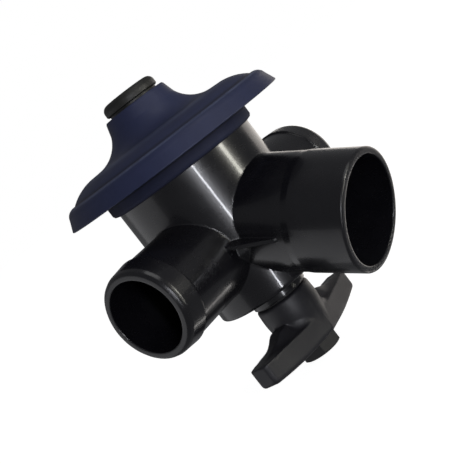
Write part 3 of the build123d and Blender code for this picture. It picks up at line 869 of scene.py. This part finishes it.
@dataclass(frozen=True)
class THandle:
    """The T-handle: a hub that flows into a tapering grip with rising ends.

    ridge holds (share of the reach, share of the full height) of the ridge along the grip, and
    lower_edge holds (inside the flank, above the base) of the grip's rounded lower edge.
    """

    hub_top: float = -34.9
    hub_low: float = -43.1
    hub_top_r: float = 13.2
    hub_r: float = 14.0
    bar_top: float = -50.3
    bar_low: float = -59.8
    bar_rise: float = 2.4
    reach: float = 40.0
    half_width: float = 12.6
    tip_half_width: float = 4.8
    nipple_r: float = 6.55
    insert_r: float = 8.03
    step: float = -43.3
    over_ends: float = 2.0
    near_axis: float = 0.02
    slices: int = 160
    flank_steps: int = 8
    flank_curve: float = 1.9
    nose_length: float = 2.0
    nose_rise: float = 1.3
    nose_drop: float = 0.6
    nose_tuck: float = 1.4
    base_rise_from: float = 0.35
    base_rise_curve: float = 1.6
    ridge: tuple[Point, ...] = (
        (0.0, 1.0), (0.38, 1.0), (0.45, 0.95), (0.50, 0.80), (0.55, 0.62), (0.62, 0.42), (0.72, 0.24),
        (0.85, 0.09), (1.0, 0.0))
    lower_edge: tuple[Point, ...] = ((1.6, 0.0), (0.75, 0.22), (0.2, 0.8), (0.0, 1.7))
    ridge_half: float = 1.4
    ridge_flare: float = 2.0
    least_ridge: float = 0.12
    hub_inset: float = 0.3
    hub_chamfer: float = 2.4
    fuse_voxel: float = 0.42
    fuse_passes: int = 4

    def ridge_height(self, along: float) -> float:
        """Share of the full height that the ridge keeps.

        Args:
            along: Place along the grip as a share of the reach.

        Returns:
            The share that is kept.
        """
        for (left, low), (right, high) in zip(self.ridge, self.ridge[1:]):
            if along <= right:
                return low + (high - low) * (along - left) / (right - left)
        return 0.0

    def section(self, y: float) -> list[tuple[float, float, float]]:
        """The grip's closed section at one place along it.

        Args:
            y: Place along the grip in millimetres.

        Returns:
            Points of the section.
        """
        along = min(abs(y) / self.reach, 1.0)
        half = self.half_width + (self.tip_half_width - self.half_width) * along
        nose = max(0.0, (abs(y) - (self.reach - self.nose_length)) / self.nose_length)
        foot = self.bar_top + self.bar_rise * along
        rising = max(0.0, (along - self.base_rise_from) / (1.0 - self.base_rise_from))
        base = self.bar_low + self.bar_rise * rising ** self.base_rise_curve
        base += self.nose_rise * nose ** 2
        foot -= self.nose_drop * nose ** 2
        half -= self.nose_tuck * nose ** 2
        full = self.hub_low + 0.6 - self.bar_top - self.bar_rise
        share = self.ridge_height(along)
        peak = max(foot + self.least_ridge, self.bar_top + self.bar_rise * along + full * share)
        hub_chord = 0.95 * math.sqrt(max(self.hub_top_r ** 2 - y ** 2, 0.0))
        top_half = self.ridge_half + self.ridge_flare * share
        crest = min(max(top_half, hub_chord), 0.96 * half)
        side = []
        for k in range(self.flank_steps + 1):
            t = k / self.flank_steps
            x = half + (crest - half) * t
            side.append((x, foot + (peak - foot) * (t ** self.flank_curve)))
        lower = [(half - inside, base + above) for inside, above in self.lower_edge]
        right = lower + side
        ring = right + [(-x, z) for x, z in reversed(right)]
        return [(x, y, z) for x, z in ring]

    def build(self, maker: Maker) -> None:
        """Builds the handle.

        Args:
            maker: Makes and fits the mesh.
        """
        places = [-self.reach + 2 * self.reach * k / self.slices for k in range(self.slices + 1)]
        grip = maker.skin("grip", [self.section(y) for y in places])
        waist = self.half_width - self.hub_inset
        hub = maker.lathe("hub", rounded([
            (self.near_axis, self.bar_low, 0), (waist - self.hub_chamfer, self.bar_low, 1.0),
            (waist, self.bar_low + self.hub_chamfer, 1.5),
            (waist + 0.2, self.bar_top, 6.0), (self.hub_r - 0.4, self.hub_low, 4.0),
            (self.hub_top_r, self.hub_top - 0.9, 1.2), (self.hub_top_r - 1.0, self.hub_top, 0.8),
            (self.near_axis, self.hub_top, 0)]))
        handle = maker.fused("t_handle_skin", [grip, hub], self.fuse_voxel, self.fuse_passes)
        below = self.bar_low - self.over_ends
        above = self.hub_top + self.over_ends
        bore = maker.lathe("bore", [
            (self.near_axis, below), (self.insert_r, below), (self.insert_r, self.step),
            (self.nipple_r, self.step), (self.nipple_r, above), (self.near_axis, above),
        ], maker.bore_segments)
        maker.bored(handle, bore)
        maker.fit(handle, "t_handle", "handle_charcoal", "handle")


@dataclass(frozen=True)
class SoftStack:
    """The diaphragm and the two springs."""

    sheet_low: float = 29.0
    sheet_top: float = 30.8
    flat_r: float = 19.5
    hole_r: float = 3.05
    bead_in_r: float = 30.6
    bead_r: float = 33.8
    bead_low: float = 39.0
    bead_top: float = 42.0
    plate_top: float = 32.8
    spring_top: float = 60.4
    recess: float = 64.4
    pocket: float = 71.2
    lift: float = 5.0
    press: float = 3.0
    edge: float = 0.3
    roll: float = 0.35
    sheet_steps: int = 16
    closing_coil_r: float = 9.8
    closing_wire_r: float = 0.8
    closing_turns: int = 7
    button_coil_r: float = 7.1
    button_wire_r: float = 0.45
    button_turns: int = 4

    def diaphragm(self, maker: Maker) -> bpy.types.Object:
        """The dished sheet with its rolled convolution and its bead.

        Args:
            maker: Turns the outline.

        Returns:
            The sheet.
        """
        upper: list[Point] = []
        lower: list[Point] = []
        for k in range(self.sheet_steps + 1):
            t = k / self.sheet_steps
            r = self.flat_r + (self.bead_in_r - self.flat_r) * t
            lift = t * t * (3 - 2 * t)
            upper.append((r, self.sheet_top + (self.bead_top - 0.6 - self.sheet_top) * lift))
            lower.append((r + self.roll * math.sin(math.pi * t),
                          self.sheet_low + (self.bead_low + self.edge - self.sheet_low) * lift))
        outline = [(self.hole_r, self.sheet_low), (self.hole_r, self.sheet_top), *upper,
                   (self.bead_in_r + 0.4, self.bead_top), (self.bead_r - self.edge, self.bead_top),
                   (self.bead_r, self.bead_top - self.edge), (self.bead_r, self.bead_low + self.edge),
                   (self.bead_r - self.edge, self.bead_low), (self.bead_in_r + 0.1, self.bead_low),
                   *reversed(lower)]
        return maker.lathe("diaphragm_sheet", outline)

    def build(self, maker: Maker) -> None:
        """Builds the three pieces.

        Args:
            maker: Makes and fits the meshes.
        """
        sheet = self.diaphragm(maker)
        closing = maker.coil("closing_spring_wire", self.closing_coil_r, self.closing_wire_r,
                             self.plate_top, self.spring_top, self.closing_turns)
        button = maker.coil("button_spring_wire", self.button_coil_r, self.button_wire_r,
                            self.recess, self.pocket, self.button_turns)
        rows = (
            (sheet, "diaphragm", "diaphragm_rubber", "spindle_lift",
             self.bead_top, self.bead_top - self.sheet_low, self.lift),
            (closing, "closing_spring", "spring_steel", "spindle_lift",
             self.spring_top, self.spring_top - self.plate_top, self.lift),
            (button, "button_spring", "spring_steel", "bleed_button_press",
             self.recess, self.pocket - self.recess, self.press),
        )
        for made, node, slot, joint, anchor, height, travel in rows:
            maker.fit(made, node, slot, "housing")
            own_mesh(made)


# ---------------------------------------------------------------------------------------------
# Studio
# ---------------------------------------------------------------------------------------------


@dataclass(frozen=True)
class Panel:
    """One rectangular light that faces the valve.

    towards is its direction as shares of the camera's right, up and back; size is its width and
    its height along the valve axis in metres; radiance is how bright its face is.
    """

    name: str
    towards: tuple[float, float, float]
    distance: float
    size: tuple[float, float]
    radiance: float
    colour: tuple[float, float, float] = (1.0, 1.0, 1.0)


PANELS = (
    Panel("strip_front", (0.255, -0.025, 0.967), 0.9, (0.036, 0.60), 82.0, (0.93, 0.94, 1.0)),
    Panel("strip_right", (0.77, 0.445, 0.455), 0.9, (0.095, 0.60), 26.0, (1.0, 0.98, 0.88)),
    Panel("table_left", (-0.56, -0.80, -0.16), 0.9, (1.3, 0.8), 0.54, (0.97, 0.97, 1.0)),
    Panel("strip_low_right", (0.79, -0.22, -0.57), 0.9, (0.07, 0.60), 3.2, (1.0, 0.96, 0.92)),
    Panel("ceiling", (-0.15, 0.93, 0.35), 1.1, (0.6, 0.6), 1.3),
    Panel("backdrop", (0.45, 0.30, -0.84), 1.2, (1.1, 0.9), 1.25, (1.0, 0.93, 0.86)),
)


@dataclass(frozen=True)
class Studio:
    """Camera, lights and floor."""

    azimuth: float = math.radians(41.37)
    elevation: float = math.radians(6.72)
    roll: float = math.radians(37.46)
    distance: float = 0.4602
    aim_below: float = 0.0004
    lens_mm: float = 83.1
    sensor_mm: float = 36.0
    nearest: float = 0.01
    farthest: float = 50.0
    ambient: float = 0.16
    floor_gap: float = 0.0005
    floor_half: float = 6.0
    floor_shade: float = 0.3
    floor_roughness: float = 0.9
    floor_glow: float = 0.95

    def axes(self) -> tuple[Vector, Vector, Vector]:
        """The camera's own directions.

        Returns:
            Right, up and back.
        """
        a, e = self.azimuth, self.elevation
        back = Vector((math.sin(a) * math.cos(e), -math.cos(a) * math.cos(e), math.sin(e)))
        level = Vector((math.cos(a), math.sin(a), 0.0))
        upright = back.cross(level)
        right = level * math.cos(self.roll) - upright * math.sin(self.roll)
        return right, back.cross(right), back

    def camera(self) -> None:
        """Places the camera and makes it the scene's own."""
        right, up, back = self.axes()
        data = bpy.data.cameras.new("camera")
        data.lens = self.lens_mm
        data.sensor_width = self.sensor_mm
        data.clip_start = self.nearest
        data.clip_end = self.farthest
        camera = bpy.data.objects.new("camera", data)
        turn = Matrix((right, up, back)).transposed().to_4x4()
        camera.matrix_world = Matrix.Translation(back * self.distance - up * self.aim_below) @ turn
        bpy.context.scene.collection.objects.link(camera)
        bpy.context.scene.camera = camera

    def light(self, panel: Panel) -> None:
        """Adds one panel.

        Args:
            panel: Where the light stands and how bright it is.
        """
        direction = sum((axis * share for axis, share in zip(self.axes(), panel.towards)), Vector())
        direction.normalize()
        data = bpy.data.lights.new(panel.name, "AREA")
        data.shape = "RECTANGLE"
        data.size, data.size_y = panel.size
        data.energy = panel.radiance * math.pi * panel.size[0] * panel.size[1]
        data.color = panel.colour
        light = bpy.data.objects.new(panel.name, data)
        side = Vector((0.0, 0.0, 1.0)).cross(direction).normalized()
        turn = Matrix((side, direction.cross(side), direction)).transposed().to_4x4()
        light.matrix_world = Matrix.Translation(direction * panel.distance) @ turn
        bpy.context.scene.collection.objects.link(light)

    def world(self) -> None:
        """A white surround for the camera that lights the valve only softly."""
        world = bpy.data.worlds.new("surround")
        bpy.context.scene.world = world
        world.use_nodes = True
        nodes = Nodes(world.node_tree)
        direct = nodes.add("ShaderNodeLightPath", {}, {}, "Is Camera Ray")
        seen = nodes.add("ShaderNodeBackground", {}, {"Color": WHITE})
        felt = nodes.add("ShaderNodeBackground", {},
                         {"Color": (0.95, 0.96, 1.0, 1.0), "Strength": self.ambient})
        mix = nodes.add("ShaderNodeMixShader", {}, {0: direct, 1: felt, 2: seen})
        nodes.node("ShaderNodeOutputWorld", {}, {"Surface": mix})

    def floor(self, low_z: float) -> None:
        """A plain pale floor just below the valve, which doesn't mirror in it.

        Args:
            low_z: The valve's lowest point in metres.
        """
        mesh = bpy.data.meshes.new("floor")
        half = self.floor_half
        corners = [(-half, -half, 0), (half, -half, 0), (half, half, 0), (-half, half, 0)]
        mesh.from_pydata(corners, [], [(0, 1, 2, 3)])
        floor = bpy.data.objects.new("floor", mesh)
        floor.location.z = low_z - self.floor_gap
        floor.visible_glossy = floor.visible_diffuse = False
        bpy.context.scene.collection.objects.link(floor)
        g = Graph("pale_floor")
        shade = self.floor_shade
        mesh.materials.append(g.surface(
            Base_Color=(shade, shade, shade, 1.0), Roughness=self.floor_roughness,
            Emission_Strength=self.floor_glow, Emission_Color=WHITE))
        floor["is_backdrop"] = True

    def build(self, low_z: float) -> None:
        """Sets up the whole studio.

        Args:
            low_z: The valve's lowest point in metres.
        """
        self.camera()
        for panel in PANELS:
            self.light(panel)
        self.world()
        self.floor(low_z)
        bpy.context.scene.view_settings.view_transform = "Standard"


# ---------------------------------------------------------------------------------------------


def main() -> None:
    """Builds the valve around its frame."""
    logging.basicConfig(level=logging.INFO, format="%(message)s")
    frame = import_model()
    cad_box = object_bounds()
    Studio().build(cad_box[0].z)
    wardrobe = Wardrobe(frame)
    maker = Maker(wardrobe)
    for assembly in (THandle(), SoftStack()):
        assembly.build(maker)
    wardrobe.dress_nodes()


if __name__ == "__main__":
    main()
